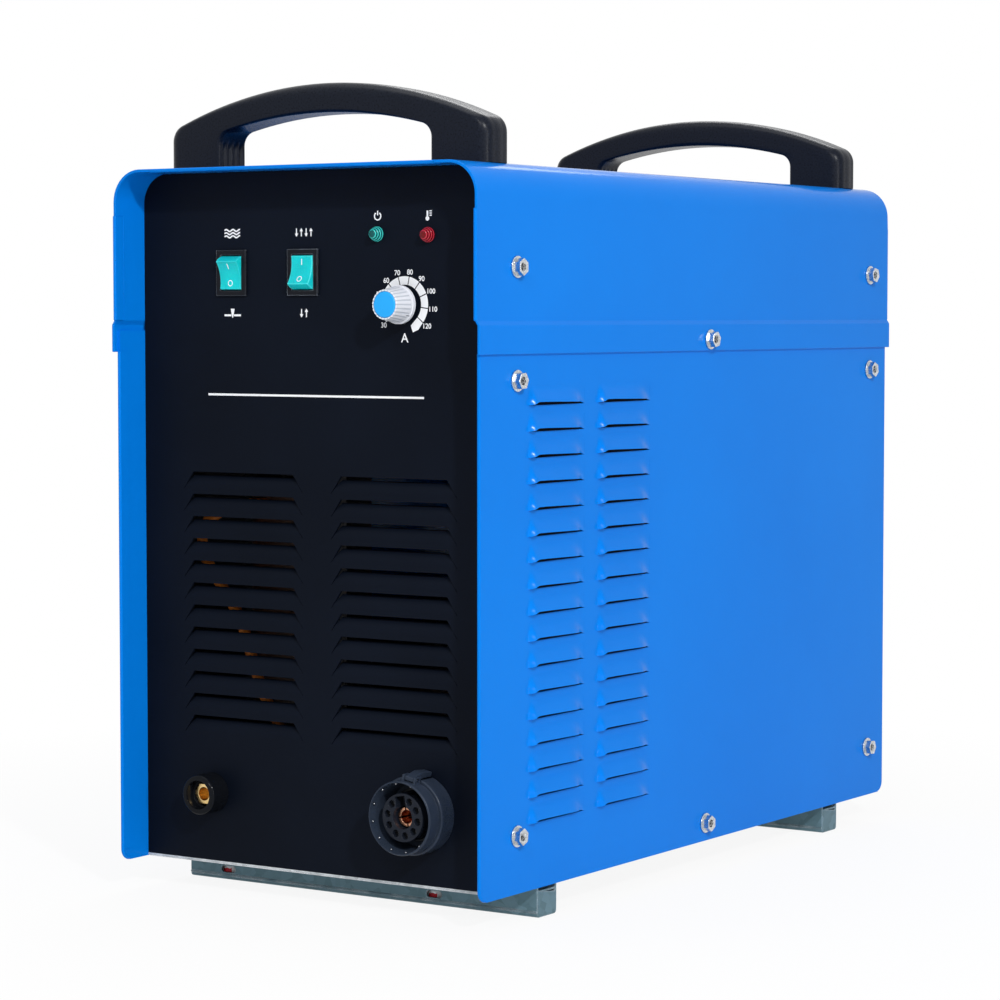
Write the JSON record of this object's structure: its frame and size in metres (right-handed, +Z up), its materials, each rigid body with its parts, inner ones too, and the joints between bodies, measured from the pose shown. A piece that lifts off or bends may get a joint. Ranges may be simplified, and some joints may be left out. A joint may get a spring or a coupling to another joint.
{
  "type": "plasma cutter unit",
  "caption": "Upright sheet-metal plasma cutter power unit with louvred panels, a recessed control front with torch and work sockets, a rear fan and two carrying handles.",
  "frame": {"origin": "on the floor under the middle of the cabinet", "axes": "+Z up, the control front faces -Y, +X to the right seen from the front"},
  "size_m": [0.313, 0.584, 0.5504],
  "materials": {
    "cover_blue": "satin bright blue enamel on sheet steel",
    "panel_black": "matte black fine-texture powder coat",
    "galvanised": "bare galvanised sheet",
    "zinc": "bright zinc-plated fasteners",
    "handle_plastic": "black moulded plastic with a grained skin",
    "switch_black": "black moulded plastic",
    "rocker_green": "translucent teal-green plastic",
    "lamp_green": "translucent green lens",
    "lamp_red": "translucent red lens",
    "knob_white": "white moulded plastic",
    "cap_blue": "sky-blue plastic",
    "socket_plastic": "dark grey moulded plastic",
    "socket_gloss": "gloss black plastic",
    "copper": "bare copper",
    "brass": "machined brass",
    "breaker_grey": "light grey moulded plastic",
    "lever_blue": "dark blue moulded plastic",
    "fan_black": "black moulded plastic",
    "wire": "bright plated wire",
    "hose_blue": "blue air hose",
    "lead_orange": "orange silicone insulation",
    "core_steel": "stacked core sheets",
    "winding": "enamelled copper winding",
    "heat_sink": "extruded aluminium",
    "module": "potted power module",
    "board": "circuit board",
    "fibre_board": "black insulating fibre board",
    "capacitor": "sleeved can"
  },
  "bodies": {
    "cabinet": {"base_tray": "galvanised", "front_foot": "galvanised", "rear_foot": "galvanised", "foot_bolts": "zinc", "front_panel": "panel_black", "rear_panel": "panel_black", "top_cover": "cover_blue", "left_side_panel": "cover_blue", "right_side_panel": "cover_blue", "cover_bolts": "zinc", "cover_nuts": "zinc", "front_handle": "handle_plastic", "rear_handle": "handle_plastic", "handle_screws": "zinc", "gas_switch_body": "switch_black", "step_switch_body": "switch_black", "power_lamp": "lamp_green", "fault_lamp": "lamp_red", "lamp_holders": "switch_black", "potentiometer": "brass", "torch_socket_shell": "socket_plastic", "torch_socket_insert": "socket_plastic", "torch_contact": "copper", "torch_pin_sockets": "brass", "torch_latch_pin": "zinc", "work_socket_barrel": "socket_gloss", "work_socket_contact": "brass", "panel_nuts": "zinc", "fan_frame": "fan_black", "fan_guard": "wire", "fan_screws": "zinc", "breaker_body": "breaker_grey", "cable_gland": "switch_black", "gas_inlet": "brass", "gas_valve": "brass", "gas_hose": "hose_blue", "torch_lead": "lead_orange", "torch_lead_lug": "zinc", "earth_stud": "brass", "inner_deck": "galvanised", "transformer_core": "core_steel", "transformer_winding": "winding", "choke_core": "core_steel", "choke_winding": "winding", "choke_screen": "fibre_board", "heat_sink": "heat_sink", "power_modules": "module", "control_board": "board", "capacitors": "capacitor"},
    "gas_rocker": {"gas_switch_rocker": "rocker_green"},
    "step_rocker": {"step_switch_rocker": "rocker_green"},
    "current_dial": {"current_knob": "knob_white", "knob_cap": "cap_blue", "potentiometer_shaft": "zinc"},
    "fan_wheel": {"fan_rotor": "fan_black"},
    "breaker_lever": {"breaker_toggle": "lever_blue"},
    "latch_lever": {"torch_latch": "socket_plastic"}
  },
  "joints": [
    {"name": "gas_rocker_tilt", "type": "hinge", "parent": "cabinet", "child": "gas_rocker", "pos_m": [-0.0698, -0.2593, 0.4245], "axis": [1, 0, 0], "range_deg": [-28, 0]},
    {"name": "step_rocker_tilt", "type": "hinge", "parent": "cabinet", "child": "step_rocker", "pos_m": [-0.0098, -0.2593, 0.4245], "axis": [1, 0, 0], "range_deg": [0, 28]},
    {"name": "current_dial_turn", "type": "hinge", "parent": "cabinet", "child": "current_dial", "pos_m": [0.0718, -0.2605, 0.4029], "axis": [0, -1, 0], "range_deg": [-17, 267]},
    {"name": "fan_spin", "type": "hinge", "parent": "cabinet", "child": "fan_wheel", "pos_m": [0, 0.24, 0.17], "axis": [0, 1, 0], "continuous": true},
    {"name": "breaker_lever_throw", "type": "hinge", "parent": "cabinet", "child": "breaker_lever", "pos_m": [0.07, 0.2745, 0.425], "axis": [1, 0, 0], "range_deg": [0, 70]},
    {"name": "torch_latch_press", "type": "hinge", "parent": "cabinet", "child": "latch_lever", "pos_m": [0.09003, -0.28, 0.09642], "axis": [-0.9781, 0, 0.2079], "range_deg": [0, 6], "stiffness_Nm_per_rad": 0.05}
  ]
}
